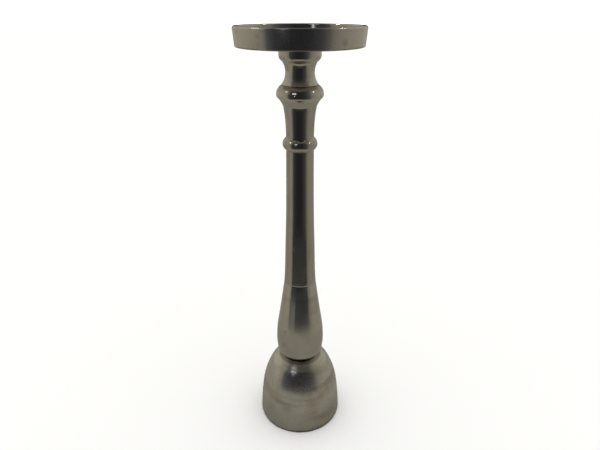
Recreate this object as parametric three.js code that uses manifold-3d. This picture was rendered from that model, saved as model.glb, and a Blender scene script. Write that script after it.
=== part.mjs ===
// A tall candlestick turned and cast in silvery metal: a wide shallow candle dish on a waisted
// neck, a slim column with a knob and a bead, a pear-shaped bulb, and a hollow domed foot on a
// felt ring. A tie rod on the axis pulls the stack together with a nut inside the foot, and a
// countersunk screw holds the dish to the neck.
// Units are millimetres, +Z is up, and the origin is on the table, on the axis.

import * as THREE from 'three';
import { mergeVertices } from 'three/addons/utils/BufferGeometryUtils.js';
import Module from 'manifold-3d';

const wasm = await Module();
wasm.setup();

// ---- Driving dimensions ------------------------------------------------------------------

const FACETS = 48;              // sides of every turned piece
const GAP = 0.3;                // space left between pieces that touch

// Heights of the joints between the stacked pieces.
const Z_RIM = 400;              // top of the dish, the full height
const Z_DISH = 384;             // underside of the dish
const Z_KNOB = 354;             // neck stands on the knob
const Z_BULB = 164;             // column stands on the bulb
const Z_FOOT = 76;              // bulb stands on the foot

// Candle dish.
const DISH_TOP_R = 54.5;
const DISH_LOW_R = 53.3;
const DISH_WALL = 3;
const DISH_FLOOR = 4;
const DISH_COVE = 4;            // fillet between floor and wall, inside
const LIP_R = DISH_WALL / 2;    // rounding over the lip
const DISH_EDGE = 1.5;          // rounding under the wall

// Neck.
const FLANGE_R = 17.8;
const FLANGE_ROUND = 5.5;
const Z_FLANGE = 377.5;         // widest height of the flange
const WAIST_R = 12.4;
const Z_WAIST = 364;
const WAIST_ROUND = 16.5;
const NECK_FILLET = 7;          // hollow that joins the waist to the flange
const SCREW_TAP = 12;           // how far above the knob the screw's thread starts

// Column: knob, bead and shaft.
const KNOB_R = 20.35;
const Z_KNOB_MID = 345.8;
const KNOB_ROUND = 9.2;         // upper side of the knob
const KNOB_TURN = 3.3;          // tight lower side of the knob
const BEAD_R = 15.46;
const Z_BEAD = 303.4;
const BEAD_ROUND = 6.2;
const SHAFT_TOP_R = 12.4;
const SHAFT_LOW_R = 15.6;

// Bulb.
const BULB_R = 24.3;
const Z_BULB_MID = 95;
const BULB_SEAT_R = 15;
const BULB_LIFT = 1.2;          // open groove between the bulb's rounding and the foot
const BULB_LOW_R = 23.4;        // where the rounding under the bulb starts
const BULB_TURN = 6.5;

// Foot.
const FOOT_R = 43.1;
const FOOT_WALL = 4.5;
const FOOT_LAND_R = 18.5;       // flat land under the bulb
const HUB_R = 14;
const HUB_DEPTH = 15.5;         // from the land to the nut face of the hub

// Felt ring.
const PAD_OUT_R = 42.7;
const PAD_IN_R = 36;
const PAD_THICK = 1.2;

// Spigots that centre one piece in the next.
const SPIGOT_R = 9;
const SPIGOT_LENGTH = 5;

// Fasteners: an M8 rod with its nut and washers, and an M6 countersunk screw.
const ROD_R = 4;
const ROD_LOW_Z = 43;
const ROD_TOP_Z = 363;
const CORE_R = 6.5;             // bore of the column and bulb around the rod
const WASHER_R = 12;
const WASHER_THICK = 2;
const LOCK_R = 7.2;
const LOCK_THICK = 2;
const LOCK_SPLIT = 1.4;
const LOCK_SPLIT_ANGLE = 35;
const NUT_FLATS = 13;
const NUT_HEIGHT = 6.5;
const NUT_BEVEL = [1, 0.6];     // how far its corners are turned down, across and along
const SCREW_R = 3;
const SCREW_HEAD_R = 6;
const SCREW_LENGTH = 16;
const SOCKET_FLATS = 4;
const SOCKET_DEPTH = 2.4;
const CHAMFER = 0.8;

// ---- Outline and solid helpers -----------------------------------------------------------
// An outline is a list of [radius, height] points. It runs up the outside of the piece and
// down its bore, or starts and ends on the axis.

const TURN = Math.PI / 180;

/** Points on an arc, from one angle to another in degrees, 0 pointing outwards, 90 up. */
function arc(r, z, round, from, to, steps) {
  return Array.from({ length: steps + 1 }, (_, i) => {
    const a = (from + (to - from) * i / steps) * TURN;
    return [r + round * Math.cos(a), z + round * Math.sin(a)];
  });
}

/** The point at one distance from a first centre and another from a second, nearer the axis. */
function tangentCentre(first, firstReach, second, secondReach) {
  const apart = second.clone().sub(first);
  const length = apart.length();
  const along = (firstReach ** 2 - secondReach ** 2 + length ** 2) / (2 * length);
  const aside = Math.sqrt(firstReach ** 2 - along ** 2);
  const unit = apart.normalize();
  const foot = first.clone().addScaledVector(unit, along);
  return foot.addScaledVector(new THREE.Vector2(unit.y, -unit.x), aside);
}

/** Points on a smooth curve through a few outline points. */
function curve(points, steps) {
  const spline = new THREE.SplineCurve(points.map(([r, z]) => new THREE.Vector2(r, z)));
  return spline.getPoints(steps).map((p) => [p.x, p.y]);
}

function toSolid(geometry) {
  geometry.deleteAttribute('normal');
  geometry.deleteAttribute('uv');
  const merged = mergeVertices(geometry, 1e-4);
  const mesh = new wasm.Mesh({
    numProp: 3,
    vertProperties: new Float32Array(merged.attributes.position.array),
    triVerts: new Uint32Array(merged.index.array),
  });
  return new wasm.Manifold(mesh);
}

function toGeometry(solid) {
  const mesh = solid.getMesh();
  const geometry = new THREE.BufferGeometry();
  geometry.setAttribute('position', new THREE.BufferAttribute(mesh.vertProperties, 3));
  geometry.setIndex(new THREE.BufferAttribute(mesh.triVerts, 1));
  geometry.computeVertexNormals();
  return geometry;
}

/** A solid of revolution about +Z from a closed outline. */
function turned(outline, facets = FACETS) {
  const points = outline.map(([r, z]) => new THREE.Vector2(r, z));
  const onAxis = outline[0][0] === 0;
  if (!onAxis) points.push(points[0].clone());
  return toSolid(new THREE.LatheGeometry(points, facets).rotateX(Math.PI / 2));
}

/** A vertical hexagonal prism from one height to another. */
function hexPrism(flats, low, high) {
  const across = flats / Math.sqrt(3);
  const prism = new THREE.CylinderGeometry(across, across, high - low, 6);
  return toSolid(prism.rotateX(Math.PI / 2).translate(0, 0, (low + high) / 2));
}

function box(x, y, z, centre) {
  return toSolid(new THREE.BoxGeometry(x, y, z).translate(...centre));
}

// ---- Materials ---------------------------------------------------------------------------

const satin = new THREE.MeshStandardMaterial({ color: 0xaaa798, roughness: 0.38, metalness: 1 });
const polished = new THREE.MeshStandardMaterial({ color: 0xb2ae9e, roughness: 0.16, metalness: 1 });
const steel = new THREE.MeshStandardMaterial({ color: 0x9b9da0, roughness: 0.35, metalness: 1 });
const felt = new THREE.MeshStandardMaterial({ color: 0x23241f, roughness: 1, metalness: 0 });

const candlestick = new THREE.Group();

function addPiece(name, solid, material) {
  const piece = new THREE.Mesh(toGeometry(solid), material);
  piece.name = name;
  candlestick.add(piece);
}

// ---- Candle dish and its screw -----------------------------------------------------------

const Z_SEAT = Z_DISH + DISH_FLOOR;
const SINK_R = SCREW_HEAD_R + GAP * Math.SQRT2;   // mouth of the 90 degree countersink

function candleDish() {
  const wallR = DISH_TOP_R - DISH_WALL;
  const taper = DISH_TOP_R - DISH_LOW_R;
  return turned([
    [SCREW_R + GAP, Z_DISH],
    ...arc(DISH_LOW_R - DISH_EDGE, Z_DISH + DISH_EDGE, DISH_EDGE, -90, 0, 3),
    ...arc(DISH_TOP_R - LIP_R, Z_RIM - LIP_R, LIP_R, 0, 180, 6),
    ...arc(wallR - DISH_COVE - taper / 2, Z_SEAT + DISH_COVE, DISH_COVE, 0, -90, 4),
    [SINK_R, Z_SEAT],
    [SCREW_R + GAP, Z_SEAT - (SINK_R - SCREW_R - GAP)],
  ]);
}

function dishScrew() {
  const low = Z_SEAT - SCREW_LENGTH;
  const body = turned([
    [0, low],
    [SCREW_R - CHAMFER, low],
    [SCREW_R, low + CHAMFER],
    [SCREW_R, Z_SEAT - (SCREW_HEAD_R - SCREW_R)],
    [SCREW_HEAD_R, Z_SEAT],
    [0, Z_SEAT],
  ], 36);
  return body.subtract(hexPrism(SOCKET_FLATS, Z_SEAT - SOCKET_DEPTH, Z_SEAT + 1));
}

// ---- Neck --------------------------------------------------------------------------------
// A spool: a rounded flange under the dish, a hollow waist, and a flare that meets the knob.
// It is tapped from above for the dish screw and from below for the tie rod.

function neck() {
  const top = Z_DISH - GAP;
  const tapDepth = Z_KNOB + SCREW_TAP;
  const flange = new THREE.Vector2(FLANGE_R - FLANGE_ROUND, Z_FLANGE);
  const waist = new THREE.Vector2(WAIST_R + WAIST_ROUND, Z_WAIST);
  const fillet = tangentCentre(flange, FLANGE_ROUND + NECK_FILLET, waist, WAIST_ROUND - NECK_FILLET);
  const flangeEnd = fillet.clone().sub(flange).angle() / TURN - 360;
  const waistEnd = fillet.clone().sub(waist).angle() / TURN;
  return turned([
    [ROD_R + GAP, Z_KNOB - SPIGOT_LENGTH],
    [SPIGOT_R, Z_KNOB - SPIGOT_LENGTH],
    [SPIGOT_R, Z_KNOB],
    ...arc(waist.x, waist.y, WAIST_ROUND, 217, waistEnd, 10),
    ...arc(fillet.x, fillet.y, NECK_FILLET, waistEnd, flangeEnd + 180, 4).slice(1),
    ...arc(flange.x, flange.y, FLANGE_ROUND, flangeEnd, 0, 5).slice(1),
    ...arc(FLANGE_R - CHAMFER, top - CHAMFER, CHAMFER, 0, 90, 2),
    [SCREW_R + GAP, top],
    [SCREW_R + GAP, tapDepth],
    [ROD_R + GAP, tapDepth - 1],
  ]);
}

// ---- Column ------------------------------------------------------------------------------
// The knob at its top has a broad upper side and a tight lower turn. Below it a long cove
// runs out to the bead, and the shaft under the bead widens gently down to the bulb.

function column() {
  const top = Z_KNOB - GAP;
  const socketR = SPIGOT_R + GAP;
  const socketDepth = SPIGOT_LENGTH + 1;
  const beadCentre = BEAD_R - BEAD_ROUND;
  return turned([
    [socketR, Z_BULB + GAP],
    ...curve([[SHAFT_LOW_R, Z_BULB + GAP], [14.8, 180], [14.15, 203], [13.2, 234],
      [12.65, 268], [SHAFT_TOP_R, 298]], 12),
    ...arc(beadCentre, Z_BEAD, BEAD_ROUND, -58, 58, 9),
    ...curve([[SHAFT_TOP_R - 0.1, 311], [12.9, 324], [14.1, 334], [15.4, 338], [17.6, 341.6]], 12),
    ...arc(KNOB_R - KNOB_TURN, Z_KNOB_MID, KNOB_TURN, -48, 0, 4),
    ...arc(KNOB_R - KNOB_ROUND, Z_KNOB_MID, KNOB_ROUND, 7, 59, 6),
    [socketR, top],
    [socketR, Z_KNOB - socketDepth],
    [CORE_R, Z_KNOB - socketDepth],
    [CORE_R, Z_BULB + socketDepth],
    [socketR, Z_BULB + socketDepth],
  ]);
}

// ---- Bulb --------------------------------------------------------------------------------

function bulb() {
  return turned([
    [CORE_R, Z_FOOT - SPIGOT_LENGTH],
    [SPIGOT_R, Z_FOOT - SPIGOT_LENGTH],
    [SPIGOT_R, Z_FOOT],
    [BULB_SEAT_R, Z_FOOT],
    [BULB_SEAT_R, Z_FOOT + BULB_LIFT],
    ...arc(BULB_LOW_R - BULB_TURN, Z_FOOT + BULB_LIFT + BULB_TURN, BULB_TURN, -88, -8, 7),
    ...curve([[BULB_LOW_R + 0.2, 85.5], [BULB_R, Z_BULB_MID], [23.4, 110], [20.4, 130],
      [17.55, 150], [SHAFT_LOW_R, Z_BULB]], 14),
    [SPIGOT_R, Z_BULB],
    [SPIGOT_R, Z_BULB + SPIGOT_LENGTH],
    [CORE_R, Z_BULB + SPIGOT_LENGTH],
  ]);
}

// ---- Foot --------------------------------------------------------------------------------
// A hollow dome with an even wall, and a hub under its crown that the nut pulls against.

const Z_LAND = Z_FOOT - GAP;
const Z_HUB = Z_LAND - HUB_DEPTH;

function foot() {
  const low = PAD_THICK + GAP;
  const socketR = SPIGOT_R + GAP;
  const innerR = (r) => r - FOOT_WALL;
  return turned([
    [innerR(FOOT_R), low],
    [FOOT_R - CHAMFER / 2, low],
    ...curve([[FOOT_R, low + CHAMFER / 2], [42.3, 15], [40.3, 35], [37, 50], [30.6, 65],
      [24.9, 71.3], [FOOT_LAND_R + 1, Z_LAND]], 18),
    [socketR, Z_LAND],
    [socketR, Z_FOOT - SPIGOT_LENGTH - 1],
    [ROD_R + GAP, Z_FOOT - SPIGOT_LENGTH - 1],
    [ROD_R + GAP, Z_HUB],
    [HUB_R - CHAMFER, Z_HUB],
    [HUB_R, Z_HUB + CHAMFER],
    ...curve([[HUB_R + 1, 64], [20, 67.6], [26.5, 63.6], [33, 49], [36, 34], [38, 14],
      [innerR(FOOT_R), low + 1]], 14),
  ]);
}

// ---- Tie rod, washers and nut ------------------------------------------------------------

function tieRod() {
  return turned([
    [0, ROD_LOW_Z],
    [ROD_R - CHAMFER, ROD_LOW_Z],
    [ROD_R, ROD_LOW_Z + CHAMFER],
    [ROD_R, ROD_TOP_Z - CHAMFER],
    [ROD_R - CHAMFER, ROD_TOP_Z],
    [0, ROD_TOP_Z],
  ], 24);
}

/** A flat ring with the rod's clearance hole, hanging under a given height. */
function ringUnder(z, outR, thick) {
  const inR = ROD_R + GAP;
  return turned([[inR, z - thick], [outR, z - thick], [outR, z], [inR, z]], 36);
}

const Z_WASHER = Z_HUB - GAP;
const Z_LOCK = Z_WASHER - WASHER_THICK - GAP;
const Z_NUT = Z_LOCK - LOCK_THICK - GAP;

function lockWasher() {
  const split = box(LOCK_R * 2, LOCK_SPLIT, LOCK_THICK * 3, [LOCK_R, 0, Z_LOCK]);
  return ringUnder(Z_LOCK, LOCK_R, LOCK_THICK).subtract(split.rotate([0, 0, LOCK_SPLIT_ANGLE]));
}

function baseNut() {
  const corner = NUT_FLATS / Math.sqrt(3);
  const [across, along] = NUT_BEVEL;
  const low = Z_NUT - NUT_HEIGHT;
  const rounded = turned([
    [0, low],
    [corner - across, low],
    [corner, low + along],
    [corner, Z_NUT - along],
    [corner - across, Z_NUT],
    [0, Z_NUT],
  ], 36);
  const boreR = ROD_R + GAP;
  const bore = turned([[0, low - 1], [boreR, low - 1], [boreR, Z_NUT + 1], [0, Z_NUT + 1]], 24);
  return hexPrism(NUT_FLATS, low, Z_NUT).intersect(rounded).subtract(bore);
}

// ---- Felt ring ---------------------------------------------------------------------------

function feltRing() {
  return turned([[PAD_IN_R, 0], [PAD_OUT_R, 0], [PAD_OUT_R, PAD_THICK], [PAD_IN_R, PAD_THICK]]);
}

addPiece('candle_dish', candleDish(), satin);
addPiece('dish_screw', dishScrew(), steel);
addPiece('neck', neck(), polished);
addPiece('column', column(), polished);
addPiece('bulb', bulb(), polished);
addPiece('foot', foot(), satin);
addPiece('tie_rod', tieRod(), steel);
addPiece('base_washer', ringUnder(Z_WASHER, WASHER_R, WASHER_THICK), steel);
addPiece('lock_washer', lockWasher(), steel);
addPiece('base_nut', baseNut(), steel);
addPiece('felt_ring', feltRing(), felt);

export default candlestick;
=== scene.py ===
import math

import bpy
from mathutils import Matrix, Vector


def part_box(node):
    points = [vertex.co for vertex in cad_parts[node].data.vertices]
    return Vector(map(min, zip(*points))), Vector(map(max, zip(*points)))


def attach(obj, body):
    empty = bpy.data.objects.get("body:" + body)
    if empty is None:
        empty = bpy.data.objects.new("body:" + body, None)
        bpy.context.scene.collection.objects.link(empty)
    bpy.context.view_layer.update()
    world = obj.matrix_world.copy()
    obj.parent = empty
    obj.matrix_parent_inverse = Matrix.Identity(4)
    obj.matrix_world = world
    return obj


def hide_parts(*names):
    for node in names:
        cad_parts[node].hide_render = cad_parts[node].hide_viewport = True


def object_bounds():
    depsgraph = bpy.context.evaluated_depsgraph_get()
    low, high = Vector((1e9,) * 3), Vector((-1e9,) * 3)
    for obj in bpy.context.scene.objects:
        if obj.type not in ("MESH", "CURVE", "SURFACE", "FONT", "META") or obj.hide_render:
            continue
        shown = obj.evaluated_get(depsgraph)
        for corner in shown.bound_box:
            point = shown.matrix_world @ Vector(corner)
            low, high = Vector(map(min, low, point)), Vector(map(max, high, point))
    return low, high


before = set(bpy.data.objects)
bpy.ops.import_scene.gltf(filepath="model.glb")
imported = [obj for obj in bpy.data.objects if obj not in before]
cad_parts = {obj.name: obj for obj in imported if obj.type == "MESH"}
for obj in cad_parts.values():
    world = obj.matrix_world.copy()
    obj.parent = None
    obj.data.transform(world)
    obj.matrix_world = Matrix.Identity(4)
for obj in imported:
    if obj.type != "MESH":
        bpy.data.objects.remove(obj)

# A tall silvery candlestick on a pale floor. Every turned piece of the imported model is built
# again as a fine mesh from the same driving dimensions, with softened edges, and gets a
# procedural material. Outlines are (radius, height) in millimetres; objects are in metres.

CAD_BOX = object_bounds()
MM = 0.001
ROUND_STEPS = 192               # facets around a large turned piece
WIDE_STEPS = 256                # facets around the dish, the foot and the felt
SMALL_STEPS = 96                # facets around a fastener
GAP = 0.3                       # play around rods and spigots, and between stacked CAD pieces
SEAM = 0.03                     # the narrower gap that stacked pieces show here
TURNED_EDGE = 0.25              # how far the corners of a turned piece are softened
JOINT_EDGE = 0.04               # the same where the stem's pieces meet in a fine line
CAST_EDGE = 0.3                 # the same on the foot and the felt
CHAMFER = 0.8                   # at the end of a screw, rod, hub or flange


def heights(node):
    """Lowest and highest point of a CAD node, in millimetres."""
    low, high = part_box(node)
    return low.z / MM, high.z / MM


def reach(node):
    """Largest radius of a CAD node, in millimetres."""
    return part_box(node)[1].x / MM


# ---- Driving dimensions, from the frame where it holds them ---------------------------------

Z_DISH, Z_RIM = heights("candle_dish")
Z_FOOT_LOW = heights("foot")[0]
Z_KNOB = heights("column")[1] + GAP
Z_BULB = heights("column")[0] - GAP
Z_FOOT = heights("foot")[1] + GAP
Z_NUT_LOW, Z_NUT_TOP = heights("base_nut")
Z_ROD_LOW, Z_ROD_TOP = heights("tie_rod")
Z_SCREW_LOW, Z_SEAT = heights("dish_screw")

DISH_TOP_R = reach("candle_dish")
DISH_OUTER_TAPER = 1.2
DISH_LOW_R = DISH_TOP_R - DISH_OUTER_TAPER
DISH_WALL = 3
DISH_COVE = 4
DISH_INNER_TAPER = 0.6
DISH_EDGE = 1.5
LIP_OUT_R = 1.0
LIP_IN_R = 1.3

FLANGE_R = 17.8
FLANGE_ROUND = 5.5
Z_FLANGE = 377.5
WAIST_R = 12.4
Z_WAIST = 364
WAIST_ROUND = 16.5
WAIST_LOW_ANGLE = 217           # where the waist's arc meets the knob
NECK_FILLET = 7
SCREW_TAP = 12

KNOB_R = 20.35
Z_KNOB_MID = 345.8
KNOB_ROUND = 9.2
KNOB_TURN = 3.3
BEAD_R = 15.46
Z_BEAD = 303.4
BEAD_ROUND = 6.2
SHAFT_TOP_R = 12.4
SHAFT_LOW_R = 15.6

BULB_R = reach("bulb")
BULB_SEAT_R = 15
BULB_LOW_R = 23.4
BULB_TURN = 6.5
BULB_LIFT = 1.2

FOOT_R = reach("foot")
FOOT_WALL = 4.5
FOOT_LAND_R = 18.5
HUB_R = 14
HUB_DEPTH = 15.5

PAD_OUT_R = reach("felt_ring")
PAD_IN_R = 36

SPIGOT_R = 9
SPIGOT_LENGTH = 5
SPIGOT_ROOM = 1                 # a socket is this much deeper than its spigot
ROD_R = reach("tie_rod")
THREAD_PITCH = 1.25
THREAD_DEPTH = 0.68
THREAD_END_Z = 66               # the thread is modelled up to here, inside the hub
CORE_R = 6.5
WASHER_R = reach("base_washer")
LOCK_R = reach("lock_washer")
LOCK_SPLIT_ANGLE = 35
LOCK_SPLIT = 1.4
NUT_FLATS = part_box("base_nut")[1].x * 2 / MM
SCREW_R = 3
SCREW_HEAD_R = reach("dish_screw")
SOCKET_FLATS = 4
SOCKET_DEPTH = 2.4


# ---- Outlines -------------------------------------------------------------------------------

def arc(r, z, radius, start, end, step):
    """Points on an arc between two angles in degrees, 0 pointing outwards and 90 up."""
    count = max(2, math.ceil(abs(end - start) / step))
    angles = [math.radians(start + (end - start) * i / count) for i in range(count + 1)]
    return [(r + radius * math.cos(a), z + radius * math.sin(a)) for a in angles]


def tangent_centre(first, first_reach, second, second_reach):
    """The point at one distance from a first centre and another from a second."""
    length = math.dist(first, second)
    unit = ((second[0] - first[0]) / length, (second[1] - first[1]) / length)
    along = (first_reach ** 2 - second_reach ** 2 + length ** 2) / (2 * length)
    aside = math.sqrt(first_reach ** 2 - along ** 2)
    return (first[0] + along * unit[0] + aside * unit[1],
            first[1] + along * unit[1] - aside * unit[0])


def angle_to(start, end):
    """Direction from one point to another, in degrees."""
    return math.degrees(math.atan2(end[1] - start[1], end[0] - start[0]))


def curve(points, spans):
    """A smooth curve through a few outline points, each stretch cut into that many spans."""
    found = []
    last = len(points) - 1
    for i in range(last):
        before, start = points[max(i - 1, 0)], points[i]
        end, after = points[i + 1], points[min(i + 2, last)]
        for k in range(spans):
            t = k / spans
            found.append(tuple(
                b + 0.5 * t * ((c - a) + t * (2 * a - 5 * b + 4 * c - d
                                              + t * (3 * (b - c) + d - a)))
                for a, b, c, d in zip(before, start, end, after)))
    return found + [tuple(points[-1])]


def soften(points, radius):
    """Rounds every sharp corner of a closed outline, cutting at most a share of each edge."""
    steps, sharp, share = 3, 22, 0.45
    found = []
    for i, p in enumerate(points):
        before, after = points[i - 1], points[(i + 1) % len(points)]
        into = (p[0] - before[0], p[1] - before[1])
        out = (after[0] - p[0], after[1] - p[1])
        len_in, len_out = math.hypot(*into), math.hypot(*out)
        cross = into[0] * out[1] - into[1] * out[0]
        dot = into[0] * out[0] + into[1] * out[1]
        if abs(math.degrees(math.atan2(cross, dot))) < sharp:
            found.append(p)
            continue
        cut = min(radius, share * len_in, share * len_out)
        a = (p[0] - into[0] / len_in * cut, p[1] - into[1] / len_in * cut)
        b = (p[0] + out[0] / len_out * cut, p[1] + out[1] / len_out * cut)
        for k in range(steps + 1):
            t = k / steps
            found.append(tuple(
                (1 - t) ** 2 * a[n] + 2 * t * (1 - t) * p[n] + t * t * b[n] for n in (0, 1)))
    return found


def hexagon(flats):
    """Radius of a hexagon with that width across its flats, as a function of the angle."""
    def radius(angle):
        sector = math.radians(60)
        return flats / 2 / math.cos((angle + sector / 2) % sector - sector / 2)
    return radius


# ---- Meshes ---------------------------------------------------------------------------------

def new_object(name, verts, faces, sharp=32):
    """A smooth-shaded object; edges bent by more than sharp degrees stay crisp."""
    mesh = bpy.data.meshes.new(name)
    mesh.from_pydata([tuple(c * MM for c in v) for v in verts], [], faces)
    mesh.validate()
    mesh.shade_smooth()
    mesh.set_sharp_from_angle(angle=math.radians(sharp))
    piece = bpy.data.objects.new(name, mesh)
    bpy.context.scene.collection.objects.link(piece)
    return piece


def lathe(name, outline, steps=ROUND_STEPS, lift=None, sharp=32):
    """Turns an outline about Z. It closes on itself, or starts and ends on the axis.

    A radius may be a function of the angle, and lift(angle, radius, height) moves a point.
    """
    verts, rings = [], []
    for r, z in outline:
        if r == 0:
            rings.append([len(verts)] * steps)
            verts.append((0, 0, z))
            continue
        ring = []
        for k in range(steps):
            a = 2 * math.pi * k / steps
            radius = r(a) if callable(r) else r
            height = z
            if lift:
                radius, height = lift(a, radius, z)
            ring.append(len(verts))
            verts.append((radius * math.cos(a), radius * math.sin(a), height))
        rings.append(ring)
    if outline[0][0] != 0:
        rings.append(rings[0])
    faces = []
    for low, high in zip(rings, rings[1:]):
        for k in range(steps):
            j = (k + 1) % steps
            corners = dict.fromkeys([low[k], low[j], high[j], high[k]])
            faces.append(list(corners))
    return new_object(name, verts, faces, sharp)


# ---- Material nodes -------------------------------------------------------------------------

class Graph:
    """Short names for building a node material."""

    def __init__(self, name):
        self.material = bpy.data.materials.new(name)
        self.material.use_nodes = True
        self.tree = self.material.node_tree
        self.shader = self.tree.nodes["Principled BSDF"]
        self.place = self.add("ShaderNodeTexCoord").outputs["Object"]

    def add(self, kind, **values):
        node = self.tree.nodes.new(kind)
        for key, value in values.items():
            setattr(node, key, value)
        return node

    def feed(self, socket, value):
        """Links a socket to another one, or sets its value."""
        if isinstance(value, bpy.types.NodeSocket):
            self.tree.links.new(value, socket)
        else:
            socket.default_value = value

    def math(self, operation, a, b=0.0):
        """A math node on one or two values, each a number or a socket."""
        node = self.add("ShaderNodeMath", operation=operation)
        self.feed(node.inputs[0], a)
        self.feed(node.inputs[1], b)
        return node.outputs[0]

    def split(self, vector):
        node = self.add("ShaderNodeSeparateXYZ")
        self.feed(node.inputs[0], vector)
        return node.outputs

    def join(self, x, y, z):
        node = self.add("ShaderNodeCombineXYZ")
        for socket, value in zip(node.inputs, (x, y, z)):
            self.feed(socket, value)
        return node.outputs[0]

    def scaled(self, vector, scale, turn=(0, 0, 0)):
        """A vector scaled along its axes and turned by angles in degrees."""
        node = self.add("ShaderNodeMapping")
        self.feed(node.inputs["Vector"], vector)
        node.inputs["Scale"].default_value = scale
        node.inputs["Rotation"].default_value = [math.radians(t) for t in turn]
        return node.outputs[0]

    def twisted(self, vector, height, turns):
        """A vector turned about Z by so many radians per metre of height."""
        node = self.add("ShaderNodeVectorRotate", rotation_type="Z_AXIS")
        self.feed(node.inputs["Vector"], vector)
        self.feed(node.inputs["Angle"], self.math("MULTIPLY", height, turns))
        return node.outputs[0]

    def noise(self, vector, scale=1.0, detail=2.0, rough=0.5, warp=0.0, w=None):
        """Cloudy noise from 0 to 1, in four dimensions when w is given."""
        node = self.add("ShaderNodeTexNoise", noise_dimensions="3D" if w is None else "4D")
        self.feed(node.inputs["Vector"], vector)
        if w is not None:
            self.feed(node.inputs["W"], w)
        node.inputs["Scale"].default_value = scale
        node.inputs["Detail"].default_value = detail
        node.inputs["Roughness"].default_value = rough
        node.inputs["Distortion"].default_value = warp
        return node.outputs["Fac"]

    def range(self, value, low, high, to_low=0.0, to_high=1.0):
        """Maps low..high smoothly to to_low..to_high, and stops at both ends."""
        node = self.add("ShaderNodeMapRange", interpolation_type="SMOOTHSTEP")
        for socket, number in zip(node.inputs, (value, low, high, to_low, to_high)):
            self.feed(socket, number)
        return node.outputs[0]

    def mix(self, factor, a, b):
        """Blends two colours. Inputs 6 and 7 and output 2 are the node's colour sockets."""
        node = self.add("ShaderNodeMix", data_type="RGBA")
        self.feed(node.inputs["Factor"], factor)
        for socket, value in ((node.inputs[6], a), (node.inputs[7], b)):
            if not isinstance(value, bpy.types.NodeSocket):
                value = (*value, 1.0)
            self.feed(socket, value)
        return node.outputs[2]

    def total(self, terms):
        """The sum of several value times amount pairs."""
        result = 0.0
        for value, amount in terms:
            result = self.math("ADD", result, self.math("MULTIPLY", value, amount))
        return result

    def near(self, spot, radius, ragged, stretch=1.0):
        """A soft patch around a place in millimetres, broken up by a noise value."""
        node = self.add("ShaderNodeVectorMath", operation="DISTANCE")
        self.feed(node.inputs[0], self.scaled(self.place, (1, 1, 1 / stretch)))
        node.inputs[1].default_value = [c * MM for c in (spot[0], spot[1], spot[2] / stretch)]
        away = self.math("ADD", node.outputs["Value"], self.math("MULTIPLY", ragged, radius * MM))
        return self.range(away, radius * MM * 1.5, radius * MM * 0.5)

    def between(self, value, low, high, soft):
        """1 between two values in millimetres, with soft ends."""
        return self.math("MULTIPLY", self.range(value, (low - soft) * MM, (low + soft) * MM),
                         self.range(value, (high + soft) * MM, (high - soft) * MM))

    def bump(self, height):
        """The normal of a surface raised by a height in metres."""
        node = self.add("ShaderNodeBump")
        node.inputs["Distance"].default_value = 1.0
        node.inputs["Strength"].default_value = 1.0
        self.feed(node.inputs["Height"], height)
        return node.outputs[0]


# Colours of the metal and of what has settled on it. The two darkest also stand for painted shade
# in crevices, creases and along edges.
SILVER = (0.56, 0.527, 0.452)
TARNISH = (0.40, 0.355, 0.265)
WORN = (0.74, 0.72, 0.66)
RUST = (0.36, 0.23, 0.16)
OLIVE = (0.36, 0.345, 0.22)
SMUDGE_AND_SHADE = (0.24, 0.225, 0.19)
GRIME_AND_SHADE = (0.07, 0.062, 0.05)


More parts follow.
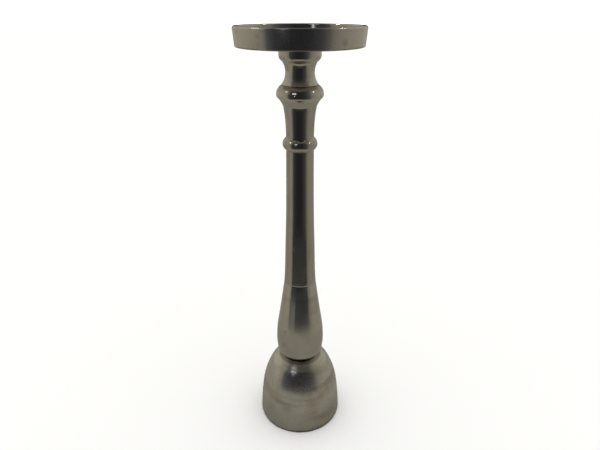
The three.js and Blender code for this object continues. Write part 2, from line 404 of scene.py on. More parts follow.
def turned_metal(name, tone, rough, wave, haze, grain, streaks=0.0, crevice_dirt_and_shade_amount=0.75, smears=0.0,
                 inside=0.0, dull=None, scuffs=(), stains=(), tints=()):
    """Silvery metal turned on a lathe, polished by hand and slightly tarnished.

    inside is how much smoother the metal is within the dish wall. dull is (low, high, softness,
    roughness), scuffs are (place, radius, stretch, roughness), stains (place, radius, strength,
    colour) and tints (low, high, softness, strength, colour), with lengths in millimetres.
    """
    g = Graph(name)
    x, y, z = g.split(g.place)
    r = g.math("SQRT", g.math("ADD", g.math("MULTIPLY", x, x), g.math("MULTIPLY", y, y)))

    def rings(pitch, scale):
        """Fine rings around the axis that waver slowly along the way round."""
        fine = 1 / (pitch * MM)
        vector = g.join(g.math("MULTIPLY", r, fine), g.math("MULTIPLY", z, fine),
                        g.math("MULTIPLY", x, scale))
        return g.noise(vector, detail=2.0, w=g.math("MULTIPLY", y, scale))

    broad = g.noise(g.place, scale=38, detail=1.5)
    patches = g.noise(g.scaled(g.place, (55, 55, 26)), detail=5, rough=0.62, warp=0.6)
    mottle = g.noise(g.place, scale=420, detail=2.5, rough=0.55)
    tool_marks = rings(0.9, 60)
    polish_marks = rings(0.22, 25)
    around = g.join(g.math("DIVIDE", x, r), g.math("DIVIDE", y, r), g.math("MULTIPLY", z, 1.5))
    upright = g.noise(around, scale=70, detail=3, rough=0.6)
    along = g.math("ADD", z, r)
    steep = g.noise(g.scaled(g.twisted(around, along, 22), (50, 50, 24)), detail=1)
    shallow = g.noise(g.scaled(g.twisted(around, along, -70), (42, 42, 36)), detail=1)
    scratched = g.math("MAXIMUM", g.range(steep, 0.69, 0.76), g.range(shallow, 0.70, 0.77))
    smear = g.noise(g.scaled(g.place, (12, 12, 70), (0, 32, 0)), detail=3, rough=0.55, warp=0.4)

    # Where ambient occlusion finds the metal enclosed, the colour is darkened: grime, and painted
    # shade in crevices and creases. The same mask roughens the metal.
    hidden = g.add("ShaderNodeAmbientOcclusion", samples=8)
    hidden.inputs["Distance"].default_value = 4 * MM
    crevice_dirt_and_shade = g.range(hidden.outputs["AO"], 0.55, 0.15, 0.0, crevice_dirt_and_shade_amount)

    tarnished = g.range(patches, 0.40, 0.74, 0.0, haze)
    colour = g.mix(tarnished, [c * t for c, t in zip(SILVER, tone)],
                   [c * t for c, t in zip(TARNISH, tone)])
    colour = g.mix(g.range(mottle, 0.35, 0.72, 0.0, 0.08), colour, TARNISH)
    colour = g.mix(g.range(smear, 0.48, 0.66, 0.0, smears), colour, TARNISH)
    for spot, radius, strength, stain in stains:
        colour = g.mix(g.math("MULTIPLY", g.near(spot, radius, patches), strength), colour, stain)
    for low, high, soft, strength, tint in tints:
        ring = g.between(z, low, high, soft)
        colour = g.mix(g.math("MULTIPLY", ring, strength), colour, tint)
    # Painted shade and grime in crevices, from the ambient occlusion mask above.
    colour = g.mix(crevice_dirt_and_shade, colour, GRIME_AND_SHADE)
    g.feed(g.shader.inputs["Base Color"], colour)
    g.shader.inputs["Metallic"].default_value = 1.0

    roughness = g.total([
        (1.0, rough),
        (g.range(patches, 0.35, 0.75), 0.07),
        (g.range(mottle, 0.3, 0.8), 0.03),
        (upright, streaks * 0.25),
        (scratched, 0.08),
        (crevice_dirt_and_shade, 0.3),
    ])
    if inside:
        wall_out, wall_in = 53 * MM, 52 * MM
        within = g.range(r, wall_out, wall_in, 0.0, inside)
        roughness = g.math("SUBTRACT", roughness, within)
    if dull:
        low, high, soft, amount = dull
        ring = g.between(z, low, high, soft)
        roughness = g.math("ADD", roughness, g.math("MULTIPLY", ring, amount))
    for spot, radius, stretch, amount in scuffs:
        patch = g.near(spot, radius, patches, stretch)
        roughness = g.math("ADD", roughness, g.math("MULTIPLY", patch, amount))
    g.feed(g.shader.inputs["Roughness"], roughness)

    height = g.total([
        (broad, wave * MM),
        (mottle, 0.0006 * MM * grain),
        (tool_marks, 0.0025 * MM * grain),
        (polish_marks, 0.0005 * MM * grain),
        (upright, 0.006 * MM * streaks),
        (scratched, -0.0007 * MM),
    ])
    g.feed(g.shader.inputs["Normal"], g.bump(height))
    tangent = g.add("ShaderNodeTangent", direction_type="RADIAL", axis="Z")
    g.feed(g.shader.inputs["Tangent"], tangent.outputs[0])
    g.shader.inputs["Anisotropic"].default_value = 0.35
    g.shader.inputs["Anisotropic Rotation"].default_value = 0.25
    return g.material


def zinc_steel():
    """Zinc plated fastener steel: faint blue and yellow clouds and fine grain."""
    g = Graph("zinc_steel")
    clouds = g.noise(g.place, scale=260, detail=3, warp=0.5)
    grain = g.noise(g.place, scale=2400, detail=3)
    colour = g.mix(g.range(clouds, 0.35, 0.7), (0.50, 0.52, 0.55), (0.56, 0.53, 0.42))
    g.feed(g.shader.inputs["Base Color"], colour)
    g.shader.inputs["Metallic"].default_value = 1.0
    g.feed(g.shader.inputs["Roughness"], g.range(grain, 0.2, 0.8, 0.28, 0.46))
    g.feed(g.shader.inputs["Normal"], g.bump(g.math("MULTIPLY", grain, 0.004 * MM)))
    return g.material


def pressed_felt():
    """Dark pressed felt: matted fibres with a little fuzz."""
    g = Graph("pressed_felt")
    fibres, crossing = [
        g.noise(g.scaled(g.place, scale, (0, 0, turn)), detail=4, rough=0.7, warp=1.5)
        for scale, turn in (((900, 2600, 900), 30), ((2600, 900, 900), 10))]
    mat = g.math("MULTIPLY", fibres, crossing)
    colour = g.mix(g.range(mat, 0.1, 0.45), (0.012, 0.014, 0.012), (0.055, 0.06, 0.052))
    g.feed(g.shader.inputs["Base Color"], colour)
    g.feed(g.shader.inputs["Roughness"], g.range(mat, 0.1, 0.5, 1.0, 0.85))
    g.feed(g.shader.inputs["Normal"], g.bump(g.math("MULTIPLY", mat, 0.35 * MM)))
    g.shader.inputs["Sheen Weight"].default_value = 0.35
    g.shader.inputs["Sheen Roughness"].default_value = 0.5
    return g.material


def dish_metal():
    """Brushed by wear outside, brighter on the lip and inside, and with painted shade along the
    bottom edge.
    """
    return turned_metal(
        "satin_dish", (1.0, 1.0, 1.03), rough=0.12, wave=0.05, haze=0.35, grain=0.9, streaks=0.6,
        inside=0.1, dull=(Z_RIM - 1.5, Z_RIM + 1, 0.4, -0.07),
        scuffs=[((-33, -43.5, 400), 7, 1, 0.3), ((14, 53, 399), 6, 1, 0.06)],
        tints=[(Z_RIM - 1.3, Z_RIM + 1, 0.4, 0.7, WORN),
               # Painted shade along the bottom edge, where the dish turns under.
               (Z_DISH + 0.4, Z_DISH + 0.9, 0.25, 0.7, GRIME_AND_SHADE)],
        stains=[((33, -42.3, 389.5), 4, 0.45, SMUDGE_AND_SHADE), ((-48, -24, 396), 5, 0.5, OLIVE),
                ((-31, -44.4, 388), 3, 0.5, OLIVE), ((-31, -44.4, 394), 3, 0.5, OLIVE)])


def neck_metal():
    """Mirror bright, with a dull worn band where it stands on the knob."""
    return turned_metal(
        "polished_neck", (1.0, 1.0, 1.0), rough=0.035, wave=0.04, haze=0.3, grain=0.6,
        crevice_dirt_and_shade_amount=0.05, dull=(349, 359.5, 2.5, 0.3), tints=[(348, 359, 2.5, 0.9, WORN)],
        stains=[((-13, -8, 358), 3, 0.4, OLIVE)])


def column_metal():
    """Mirror bright, with faint upright streaks, small scuffs and a few marks on the taper."""
    return turned_metal(
        "polished_column", (0.95, 0.95, 0.95), rough=0.055, wave=0.05, haze=0.4, grain=0.8,
        streaks=0.12, crevice_dirt_and_shade_amount=0.15, dull=(350.5, 355, 1, 0.2),
        tints=[(342, 349.5, 0.4, 0.35, WORN)],
        scuffs=[((-5.7, -12.9, 204), 1.5, 4, 0.15), ((-4, -15, 304), 5, 1, 0.12)],
        stains=[((17, -10.6, 346.3), 1.6, 0.6, SMUDGE_AND_SHADE), ((12.5, -6, 322), 9, 0.2, SMUDGE_AND_SHADE),
                ((-12.5, -6, 322), 9, 0.45, WORN)])


def bulb_metal():
    """Bright above and duller towards its foot, smeared, with a rust spot, green marks and
    painted shade where it meets the foot.
    """
    return turned_metal(
        "satin_bulb", (1.15, 1.15, 1.17), rough=0.045, wave=0.06, haze=0.35, grain=0.8,
        smears=0.4, streaks=0.1, crevice_dirt_and_shade_amount=0.5, dull=(94, 124, 8, 0.1),
        scuffs=[((-7.4, -17.8, 135), 6, 4, 0.08), ((9.4, -17, 136), 6, 4, 0.1)],
        stains=[((-15.1, -17.4, 112.3), 2.5, 0.6, RUST), ((-16.5, -17.7, 96), 5, 0.5, OLIVE),
                ((-10.5, -20.5, 92), 4, 0.35, OLIVE)],
        # Painted shade in the crease over the foot, then a band that is darker from 84 to 112 mm.
        tints=[(Z_FOOT - 2, Z_FOOT + 1.8, 0.8, 0.5, SMUDGE_AND_SHADE), (84, 112, 5, 0.16, SMUDGE_AND_SHADE)])


def foot_metal():
    """The dullest piece: smeared and blotched, with painted shade in the crease under the bulb,
    over its lower part and along the floor.
    """
    return turned_metal(
        "satin_foot", (1.28, 1.29, 1.36), rough=0.21, wave=0.06, haze=0.35, grain=0.25,
        smears=0.6, crevice_dirt_and_shade_amount=0.5,
        stains=[((13, -37.5, 36), 12, 0.4, RUST), ((-13.9, -38.3, 30.4), 10, 0.45, OLIVE),
                ((22, -32, 41), 8, 0.4, RUST), ((28, -25, 47), 6, 0.4, RUST),
                ((13, -39.6, 22), 12, 0.25, SMUDGE_AND_SHADE), ((-22, -33, 36), 9, 0.25, SMUDGE_AND_SHADE)],
        # Painted shade in the crease under the bulb and over the lowest 26 mm, and a painted
        # shadow along the floor.
        tints=[(Z_FOOT - 2.5, Z_FOOT + 1, 1.2, 0.6, GRIME_AND_SHADE), (0, 26, 8, 0.16, SMUDGE_AND_SHADE),
               (0, 2.4, 0.6, 0.5, GRIME_AND_SHADE)])


# ---- Pieces ---------------------------------------------------------------------------------

def finish_piece(piece, node, material):
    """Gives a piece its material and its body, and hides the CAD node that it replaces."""
    piece.data.materials.append(material)
    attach(piece, "root")
    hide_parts(node)


def make_dish(material):
    """The candle cup: flat floor, two-arc lip and a countersunk screw hole."""
    sink_r = SCREW_HEAD_R + GAP * math.sqrt(2)
    hole_r = SCREW_R + GAP
    wall_r = DISH_TOP_R - DISH_WALL
    cove_r = wall_r - DISH_COVE - DISH_INNER_TAPER
    outline = soften([
        (hole_r, Z_DISH),
        *arc(DISH_LOW_R - DISH_EDGE, Z_DISH + DISH_EDGE, DISH_EDGE, -90, 0, 15),
        *arc(DISH_TOP_R - LIP_OUT_R, Z_RIM - LIP_OUT_R, LIP_OUT_R, 0, 90, 9),
        *arc(wall_r + LIP_IN_R, Z_RIM - LIP_IN_R, LIP_IN_R, 90, 180, 9),
        *arc(cove_r, Z_SEAT + DISH_COVE, DISH_COVE, 0, -90, 6),
        (sink_r, Z_SEAT),
        (hole_r, Z_SEAT - (sink_r - hole_r)),
    ], TURNED_EDGE)
    piece = lathe("candle_dish_fine", outline, WIDE_STEPS)
    finish_piece(piece, "candle_dish", material)


def make_screw(material):
    """The countersunk screw, with a hexagon socket in its head."""
    head_low = Z_SEAT - (SCREW_HEAD_R - SCREW_R)
    face = Z_SEAT - 0.02
    socket = hexagon(SOCKET_FLATS)
    mouth = hexagon(SOCKET_FLATS + 0.5)
    mouth_depth = 0.3
    floor = Z_SEAT - SOCKET_DEPTH
    drill_point = 0.5
    outline = [
        (0, Z_SCREW_LOW),
        (SCREW_R - CHAMFER, Z_SCREW_LOW),
        (SCREW_R, Z_SCREW_LOW + CHAMFER),
        (SCREW_R, head_low),
        (SCREW_HEAD_R - 0.12, Z_SEAT - 0.15),
        (SCREW_HEAD_R - 0.25, face),
        (mouth, face),
        (socket, Z_SEAT - mouth_depth),
        (socket, floor),
        (0, floor - drill_point),
    ]
    finish_piece(lathe("dish_screw_fine", outline, SMALL_STEPS), "dish_screw", material)


def make_neck(material):
    """The spool under the dish: waist, fillet and round flange run into each other."""
    top = Z_DISH - SEAM
    tap_r = ROD_R + GAP
    tap_end = Z_KNOB + SCREW_TAP
    spigot_end = Z_KNOB - SPIGOT_LENGTH
    flange = (FLANGE_R - FLANGE_ROUND, Z_FLANGE)
    waist = (WAIST_R + WAIST_ROUND, Z_WAIST)
    fillet = tangent_centre(flange, FLANGE_ROUND + NECK_FILLET, waist, WAIST_ROUND - NECK_FILLET)
    flange_end = angle_to(flange, fillet)
    waist_end = angle_to(waist, fillet)
    outline = soften([
        (tap_r, spigot_end),
        (SPIGOT_R, spigot_end),
        (SPIGOT_R, Z_KNOB),
        *arc(*waist, WAIST_ROUND, WAIST_LOW_ANGLE, waist_end, 1.5),
        *arc(*fillet, NECK_FILLET, waist_end, flange_end + 180, 1.5)[1:],
        *arc(*flange, FLANGE_ROUND, flange_end, 0, 3)[1:],
        *arc(FLANGE_R - CHAMFER, top - CHAMFER, CHAMFER, 0, 90, 15),
        (SCREW_R + GAP, top),
        (SCREW_R + GAP, tap_end),
        (tap_r, tap_end - 1),
    ], TURNED_EDGE)
    finish_piece(lathe("neck_fine", outline), "neck", material)


def make_column(material):
    """Slim shaft, bead, cove and knob in one piece, with a socket at each end."""
    low = Z_BULB + SEAM
    socket_r = SPIGOT_R + GAP
    depth = SPIGOT_LENGTH + SPIGOT_ROOM
    shaft = curve([(SHAFT_LOW_R, low), (14.8, 180), (14.15, 203), (13.2, 234), (12.65, 268),
                   (SHAFT_TOP_R, 298)], 9)
    cove = curve([(SHAFT_TOP_R - 0.1, 311), (12.9, 324), (14.1, 334), (15.4, 338),
                  (17.6, 341.6)], 9)
    outline = soften([
        (socket_r, low),
        *shaft,
        *arc(BEAD_R - BEAD_ROUND, Z_BEAD, BEAD_ROUND, -58, 58, 5),
        *cove,
        *arc(KNOB_R - KNOB_TURN, Z_KNOB_MID, KNOB_TURN, -48, 0, 5),
        *arc(KNOB_R - KNOB_ROUND, Z_KNOB_MID, KNOB_ROUND, 2, 59, 3),
        (socket_r, Z_KNOB - SEAM),
        (socket_r, Z_KNOB - depth),
        (CORE_R, Z_KNOB - depth),
        (CORE_R, Z_BULB + depth),
        (socket_r, Z_BULB + depth),
    ], JOINT_EDGE)
    finish_piece(lathe("column_fine", outline), "column", material)


def make_bulb(material):
    """The pear-shaped piece, with a spigot at each end."""
    seat = Z_FOOT - GAP + SEAM
    spigot_low = Z_FOOT - SPIGOT_LENGTH
    spigot_top = Z_BULB + SPIGOT_LENGTH
    turn_low = Z_FOOT + BULB_LIFT
    body = curve([(BULB_LOW_R + 0.2, 85.5), (BULB_R, 95), (23.4, 110), (20.4, 130),
                  (17.55, 150), (SHAFT_LOW_R, Z_BULB)], 9)
    outline = soften([
        (CORE_R, spigot_low),
        (SPIGOT_R, spigot_low),
        (SPIGOT_R, seat),
        (BULB_SEAT_R, seat),
        (BULB_SEAT_R, turn_low),
        *arc(BULB_LOW_R - BULB_TURN, turn_low + BULB_TURN, BULB_TURN, -88, -8, 4),
        *body,
        (SPIGOT_R, Z_BULB),
        (SPIGOT_R, spigot_top),
        (CORE_R, spigot_top),
    ], JOINT_EDGE)
    finish_piece(lathe("bulb_fine", outline), "bulb", material)


def make_foot(material):
    """The hollow dome, with a hub for the washers and the nut under its crown."""
    land = Z_FOOT - GAP
    hub = land - HUB_DEPTH
    socket_floor = Z_FOOT - SPIGOT_LENGTH - SPIGOT_ROOM
    inner = FOOT_R - FOOT_WALL
    rim = 0.4
    outside = curve([(FOOT_R, Z_FOOT_LOW + rim), (42.3, 15), (40.3, 35), (37, 50), (30.6, 65),
                     (24.9, 71.3), (FOOT_LAND_R + 1, land)], 9)
    inside = curve([(HUB_R + 1, 64), (20, 67.6), (26.5, 63.6), (33, 49), (36, 34), (38, 14),
                    (inner, Z_FOOT_LOW + 1)], 7)
    outline = soften([
        (inner, Z_FOOT_LOW),
        (FOOT_R - rim, Z_FOOT_LOW),
        *outside,
        (SPIGOT_R + GAP, land),
        (SPIGOT_R + GAP, socket_floor),
        (ROD_R + GAP, socket_floor),
        (ROD_R + GAP, hub),
        (HUB_R - CHAMFER, hub),
        (HUB_R, hub + CHAMFER),
        *inside,
    ], CAST_EDGE)
    finish_piece(lathe("foot_fine", outline, WIDE_STEPS), "foot", material)


def make_rod(material):
    """The tie rod, with a real screw thread on the end that shows inside the foot."""
    rows, steps = 10, 64
    root_r = ROD_R - THREAD_DEPTH
    crest, flank = 0.12, 0.70
    lead_start, lead = 0.4, 1.4
    tip, first_row, plain = 0.3, 0.9, 2
    outline = [(0, Z_ROD_LOW), (root_r - tip, Z_ROD_LOW)]
    z = Z_ROD_LOW + first_row
    while z < THREAD_END_Z:
        outline.append((ROD_R, z))
        z += THREAD_PITCH / rows
    outline += [(ROD_R, THREAD_END_Z + plain), (ROD_R, Z_ROD_TOP - CHAMFER),
                (ROD_R - CHAMFER, Z_ROD_TOP), (0, Z_ROD_TOP)]

    def thread(angle, radius, height):
        """Lowers the surface between the crests, and lets the thread grow in from the tip."""
        if radius < ROD_R or height > THREAD_END_Z:
            return radius, height
        turn = (height / THREAD_PITCH - angle / (2 * math.pi)) % 1
        profile = min(1.0, max(0.0, (abs(2 * turn - 1) - crest) / flank))
        grown = min(1.0, max(0.0, (height - Z_ROD_LOW - lead_start) / lead))
        return root_r + THREAD_DEPTH * profile * grown, height

    piece = lathe("tie_rod_fine", outline, steps, lift=thread, sharp=50)
    finish_piece(piece, "tie_rod", material)


def ring_section(node, outer):
    """The softened square section of a washer around the tie rod."""
    low, high = heights(node)
    inner = ROD_R + GAP
    return soften([(inner, low), (outer, low), (outer, high), (inner, high)], TURNED_EDGE)


def make_washer(material):
    """The flat washer against the hub of the foot."""
    piece = lathe("base_washer_fine", ring_section("base_washer", WASHER_R), SMALL_STEPS)
    finish_piece(piece, "base_washer", material)


def make_lock_washer(material):
    """A split spring ring whose two square ends stand a little apart."""
    section = ring_section("lock_washer", LOCK_R)
    middle_r = (ROD_R + GAP + LOCK_R) / 2
    half_gap = LOCK_SPLIT / 2 / middle_r
    start = math.radians(LOCK_SPLIT_ANGLE) + half_gap
    sweep = 2 * math.pi - 2 * half_gap
    count = len(section)
    verts, faces = [], []
    for k in range(SMALL_STEPS + 1):
        a = start + sweep * k / SMALL_STEPS
        verts += [(r * math.cos(a), r * math.sin(a), z) for r, z in section]
    for k in range(SMALL_STEPS):
        for i in range(count):
            j = (i + 1) % count
            faces.append([k * count + i, (k + 1) * count + i, (k + 1) * count + j, k * count + j])
    last = SMALL_STEPS * count
    faces.append(list(range(count)))
    faces.append([last + i for i in reversed(range(count))])
    piece = new_object("lock_washer_fine", verts, faces)
    finish_piece(piece, "lock_washer", material)


def make_nut(material):
    """A hexagon nut, its corners turned down by a 30 degree cone at both faces."""
    cone_angle = math.radians(30)
    corner_r = NUT_FLATS / math.sqrt(3)
    across = hexagon(NUT_FLATS)
    face_r = NUT_FLATS / 2 * 0.96
    bore = ROD_R + GAP
    bevel_r, bevel = bore + 0.45, 0.5
    rows, steps = 6, 120

    def turned_down(depth):
        cone = face_r + depth / math.tan(cone_angle)
        return lambda angle: min(across(angle), cone)

    depth = (corner_r - face_r) * math.tan(cone_angle)
    depths = [depth * i / rows for i in range(1, rows + 1)]
    outline = [(bore, Z_NUT_LOW + bevel), (bevel_r, Z_NUT_LOW), (face_r, Z_NUT_LOW)]
    outline += [(turned_down(d), Z_NUT_LOW + d) for d in depths]
    outline += [(turned_down(d), Z_NUT_TOP - d) for d in reversed(depths)]
    outline += [(face_r, Z_NUT_TOP), (bevel_r, Z_NUT_TOP), (bore, Z_NUT_TOP - bevel)]
    finish_piece(lathe("base_nut_fine", outline, steps, sharp=20), "base_nut", material)


def make_felt(material):
    """The felt ring, its cut edges slightly uneven."""
    low, high = heights("felt_ring")
    middle = (low + high) / 2
    shrink, depth = 0.1, 0.04
    waves = ((7, 0, 1.0), (23, 1, 0.6), (61, 2, 0.5))       # number around, phase and share
    outline = soften([
        (PAD_IN_R, low), (PAD_OUT_R, low), (PAD_OUT_R, middle), (PAD_OUT_R, high),
        (PAD_IN_R, high), (PAD_IN_R, middle),
    ], CAST_EDGE)

    def ragged(angle, radius, height):
        wobble = sum(share * math.sin(number * angle + phase) for number, phase, share in waves)
        return radius - shrink + depth * wobble, height

    piece = lathe("felt_ring_fine", outline, WIDE_STEPS, lift=ragged)
    finish_piece(piece, "felt_ring", material)


# ---- Stage ----------------------------------------------------------------------------------

def plain_surface(name, colour, strength=0.0):
    """Matt paint without a highlight, which may also glow."""
    g = Graph(name)
    g.shader.inputs["Base Color"].default_value = (*colour, 1.0)
    g.shader.inputs["Roughness"].default_value = 1.0
    g.shader.inputs["Specular IOR Level"].default_value = 0.0
    g.shader.inputs["Emission Color"].default_value = (*colour, 1.0)
    g.shader.inputs["Emission Strength"].default_value = strength
    return g.material


def stage_sheet(name, corners, material, seen_by_camera):
    """A flat stage sheet that either the camera sees or only the metal reflects."""
    mesh = bpy.data.meshes.new(name)
    mesh.from_pydata(corners, [], [list(range(len(corners)))])
    sheet = bpy.data.objects.new(name, mesh)
    bpy.context.scene.collection.objects.link(sheet)
    mesh.materials.append(material)
    sheet.visible_camera = seen_by_camera
    sheet.visible_glossy = not seen_by_camera
    sheet.visible_diffuse = seen_by_camera
    sheet.visible_shadow = seen_by_camera
    sheet.visible_transmission = seen_by_camera


def front_arc(radius, start, end, z):
    """Points on a circle around the candlestick, between two azimuths from the front."""
    count = 64
    angles = [math.radians(start + (end - start) * i / count) for i in range(count + 1)]
    return [(radius * math.sin(a), -radius * math.cos(a), z) for a in angles]


def make_floor():
    """The pale floor, large enough to fill every view."""
    far = 12.0
    paint = plain_surface("floor_paint", (0.9, 0.9, 0.9))
    corners = [(-far, -far, 0.0), (far, -far, 0.0), (far, far, 0.0), (-far, far, 0.0)]
    stage_sheet("floor", corners, paint, True)


def make_table():
    """What the metal reflects below the horizon.

    A grey table top with a round front edge, a darker strip beyond it, then the dark room. They
    lie just above the floor to catch its light, and the camera doesn't see them.
    """
    edge, beyond, wide, above = 0.335, 0.54, 1.6, 0.0003
    strip_left, strip_right = -58, 48
    table_top = plain_surface("table_top", (0.285, 0.279, 0.249))
    strip_paint = plain_surface("table_strip", (0.045, 0.048, 0.053))
    front = front_arc(edge, -90, 90, above)
    back = [(wide, 0, above), (wide, wide, above), (-wide, wide, above), (-wide, 0, above)]
    stage_sheet("table_reflected", front + back, table_top, False)
    strip_front = front_arc(beyond, strip_left, strip_right, above)
    strip_back = front_arc(edge, strip_right, strip_left, above)
    stage_sheet("strip_reflected", strip_front + strip_back, strip_paint, False)


def make_backdrop():
    """A pale half dome around everything, which only the camera sees."""
    steps, levels, radius, sunk = 48, 16, 11.0, 0.01
    verts, faces = [], []
    for i in range(levels):
        rise = math.pi / 2 * i / levels
        for k in range(steps):
            a = 2 * math.pi * k / steps
            verts.append((radius * math.cos(a) * math.cos(rise),
                          radius * math.sin(a) * math.cos(rise),
                          radius * math.sin(rise) - sunk))
    verts.append((0, 0, radius))
    for i in range(levels):
        for k in range(steps):
            low, high, j = i * steps, (i + 1) * steps, (k + 1) % steps
            if i < levels - 1:
                faces.append([low + k, low + j, high + j, high + k])
            else:
                faces.append([low + k, low + j, len(verts) - 1])
    mesh = bpy.data.meshes.new("backdrop")
    mesh.from_pydata(verts, [], faces)
    dome = bpy.data.objects.new("backdrop", mesh)
    bpy.context.scene.collection.objects.link(dome)
    mesh.materials.append(plain_surface("backdrop_paint", (0.97, 0.97, 0.97), 1.0))
    dome.visible_diffuse = False
    dome.visible_glossy = False
    dome.visible_shadow = False
    dome.visible_transmission = False


def grey(level, warm):
    """A grey of that level, neutral at warm 0 and yellowish at warm 1."""
    return (level, level * (1 - 0.03 * warm), level * (1 - 0.17 * warm))


def cool(level):
    """The faintly blue dark of the room in front of the candlestick."""
    return (level * 0.95, level, level * 1.2)


def make_world():
    """The light tent around the candlestick: grey walls, a dark open front, a dim top.

    Azimuth is counted from the front, and the walls brighten towards the sides and back. A
    narrow dark gap at the back gives the metal something to reflect from behind as well.
    """
    world = bpy.data.worlds.new("light_tent")
    bpy.context.scene.world = world
    world.use_nodes = True
    nodes, links = world.node_tree.nodes, world.node_tree.links

    def math_node(operation, a, b):
        node = nodes.new("ShaderNodeMath")
        node.operation = operation
        for socket, value in zip(node.inputs, (a, b)):
            if isinstance(value, bpy.types.NodeSocket):
                links.new(value, socket)
            else:
                socket.default_value = value
        return node.outputs[0]

    def ramp(value, stops):
        """A colour ramp through (position, colour) stops."""
        node = nodes.new("ShaderNodeValToRGB")
        node.color_ramp.interpolation = "EASE"
        elements = node.color_ramp.elements
        elements[0].position, elements[0].color = stops[0][0], (*stops[0][1], 1.0)
        elements[1].position, elements[1].color = stops[-1][0], (*stops[-1][1], 1.0)
        for position, colour in stops[1:-1]:
            elements.new(position).color = (*colour, 1.0)
        links.new(value, node.inputs[0])
        return node.outputs[0]

    def at(degrees):
        """Place of an azimuth on the ramp of the walls."""
        return 0.5 + degrees / 360

    direction = nodes.new("ShaderNodeSeparateXYZ")
    links.new(nodes.new("ShaderNodeTexCoord").outputs["Generated"], direction.inputs[0])
    x, y, z = direction.outputs
    azimuth = math_node("ARCTAN2", x, math_node("MULTIPLY", y, -1.0))
    around = math_node("ADD", math_node("DIVIDE", azimuth, 2 * math.pi), 0.5)
    walls = ramp(around, [
        (at(-180), grey(0.07, 0.4)), (at(-168), grey(0.12, 0.6)), (at(-152), grey(0.46, 1)),
        (at(-110), grey(0.43, 1)), (at(-80), grey(0.36, 1)), (at(-62), grey(0.27, 0.9)),
        (at(-59), cool(0.09)), (at(-42), cool(0.045)), (at(-20), cool(0.026)),
        (at(10), cool(0.027)), (at(34), cool(0.056)), (at(50), grey(0.12, 0.5)),
        (at(59), grey(0.24, 0.9)), (at(78), grey(0.31, 1)), (at(100), grey(0.38, 1)),
        (at(120), grey(0.42, 1)), (at(152), grey(0.46, 1)), (at(168), grey(0.12, 0.6)),
        (at(180), grey(0.07, 0.4)),
    ])
    top = ramp(z, [(0.70, (0, 0, 0)), (0.88, (1, 1, 1))])
    blend = nodes.new("ShaderNodeMix")
    blend.data_type = "RGBA"
    links.new(top, blend.inputs["Factor"])
    links.new(walls, blend.inputs[6])
    blend.inputs[7].default_value = (*grey(0.13, 1), 1.0)
    links.new(blend.outputs[2], nodes["Background"].inputs["Color"])
    nodes["Background"].inputs["Strength"].default_value = 1.0


def small_light(name, shape, place, target, size, radiance, colour, pieces):
    """A flat light of a given radiance that only the reflections in some pieces show."""
    light = bpy.data.lights.new(name, "AREA")
    light.shape = shape
    light.size, light.size_y = size
    area = size[0] * size[1] * (math.pi / 4 if shape == "DISK" else 1)
    light.energy = radiance * math.pi * area
    light.color = colour
    lamp = bpy.data.objects.new(name, light)
    bpy.context.scene.collection.objects.link(lamp)
    lamp.location = place
    direction = Vector(target) - Vector(place)
    lamp.rotation_euler = direction.to_track_quat("-Z", "Y").to_euler()
    lamp.visible_camera = False
    lamp.visible_glossy = True
    lamp.visible_diffuse = False
    lamp.light_linking.receiver_collection = pieces


def towards(azimuth, elevation, distance, centre_z):
    """A place seen from the axis at that azimuth from the front, elevation and distance."""
    a, e = math.radians(azimuth), math.radians(elevation)
    return (distance * math.sin(a) * math.cos(e), -distance * math.cos(a) * math.cos(e),
            centre_z + distance * math.sin(e))


def receivers(name, nodes):
    """The pieces that one of the small lights reaches."""
    group = bpy.data.collections.new(name)
    for node in nodes:
        group.objects.link(bpy.data.objects[node + "_fine"])
    return group


def make_lamps():
    """Two round lamps at the sides, set separately for the stem and for the rim of the dish."""
    knob = (0, 0, Z_KNOB_MID * MM)
    elevation, distance, size, warm = 35, 0.9, (0.08, 0.08), (1.0, 0.97, 0.9)
    dish = receivers("dish_piece", ["candle_dish"])
    upper = receivers("upper_pieces", ["neck", "column"])
    for name, azimuth, radiance, pieces in (
            ("lamp_left", -80, 9.0, upper), ("lamp_right", 80, 6.5, upper),
            ("rim_left", -86, 50.0, dish), ("rim_right", 80, 25.0, dish)):
        place = towards(azimuth, elevation, distance, knob[2])
        small_light(name, "DISK", place, knob, size, radiance, warm, pieces)


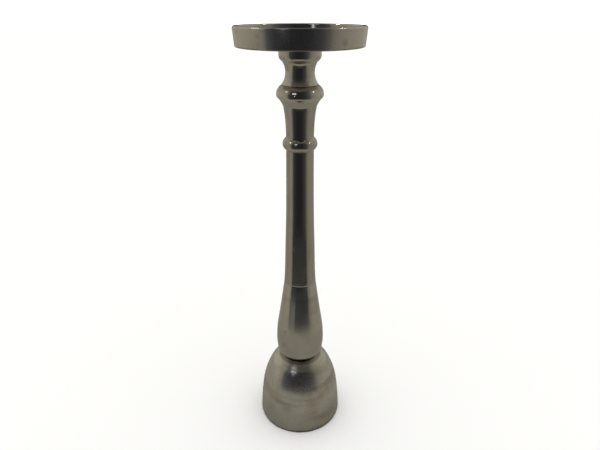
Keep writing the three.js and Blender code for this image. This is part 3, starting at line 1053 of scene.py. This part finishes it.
def make_windows():
    """Three panes of daylight on the left, one of them low over the table."""
    knob = (0, 0, Z_KNOB_MID * MM)
    table = (0, 0, 0.02)
    daylight = (0.9, 0.93, 1.0)
    for name, nodes, azimuth, elevation, distance, target, size, radiance in (
            ("window", ["candle_dish", "column", "bulb", "foot"], -30, 31, 0.8, knob,
             (0.25, 0.12), 1.7),
            ("window_low", ["candle_dish", "column", "foot"], -26, 10, 0.8, knob,
             (0.06, 0.10), 1.4),
            ("window_table", ["bulb"], -41, 0, 0.35, table, (0.17, 0.034), 0.14)):
        place = towards(azimuth, elevation, distance, target[2])
        pieces = receivers(name + "_pieces", nodes)
        small_light(name, "RECTANGLE", place, target, size, radiance, daylight, pieces)


def make_overhead():
    """Broad light from above for the floor and its soft shadow, not seen in the metal."""
    light = bpy.data.lights.new("overhead", "SUN")
    light.energy = 2.92
    light.angle = math.radians(100)
    lamp = bpy.data.objects.new("overhead", light)
    bpy.context.scene.collection.objects.link(lamp)
    lamp.visible_glossy = False


def make_camera():
    """The photograph's view, from just above the rim and looking down."""
    back, up = 1.042, 1.0345        # in heights of the candlestick
    pitch = 24.5
    camera = bpy.data.cameras.new("camera")
    camera.sensor_width = 36
    camera.lens = 28.8
    rig = bpy.data.objects.new("camera", camera)
    bpy.context.scene.collection.objects.link(rig)
    height = CAD_BOX[1].z
    rig.location = (0, -back * height, up * height)
    rig.rotation_euler = (math.radians(90 - pitch), 0, 0)
    bpy.context.scene.camera = rig


# ---- Scene ----------------------------------------------------------------------------------

bpy.context.scene.view_settings.view_transform = "Standard"

make_camera()
make_floor()
make_table()
make_backdrop()
make_world()

satin_dish = dish_metal()
polished_neck = neck_metal()
polished_column = column_metal()
satin_bulb = bulb_metal()
satin_foot = foot_metal()
steel = zinc_steel()

make_dish(satin_dish)
make_screw(steel)
make_neck(polished_neck)
make_column(polished_column)
make_bulb(satin_bulb)
make_foot(satin_foot)
make_rod(steel)
make_washer(steel)
make_lock_washer(steel)
make_nut(steel)
make_felt(pressed_felt())

make_lamps()
make_windows()
make_overhead()
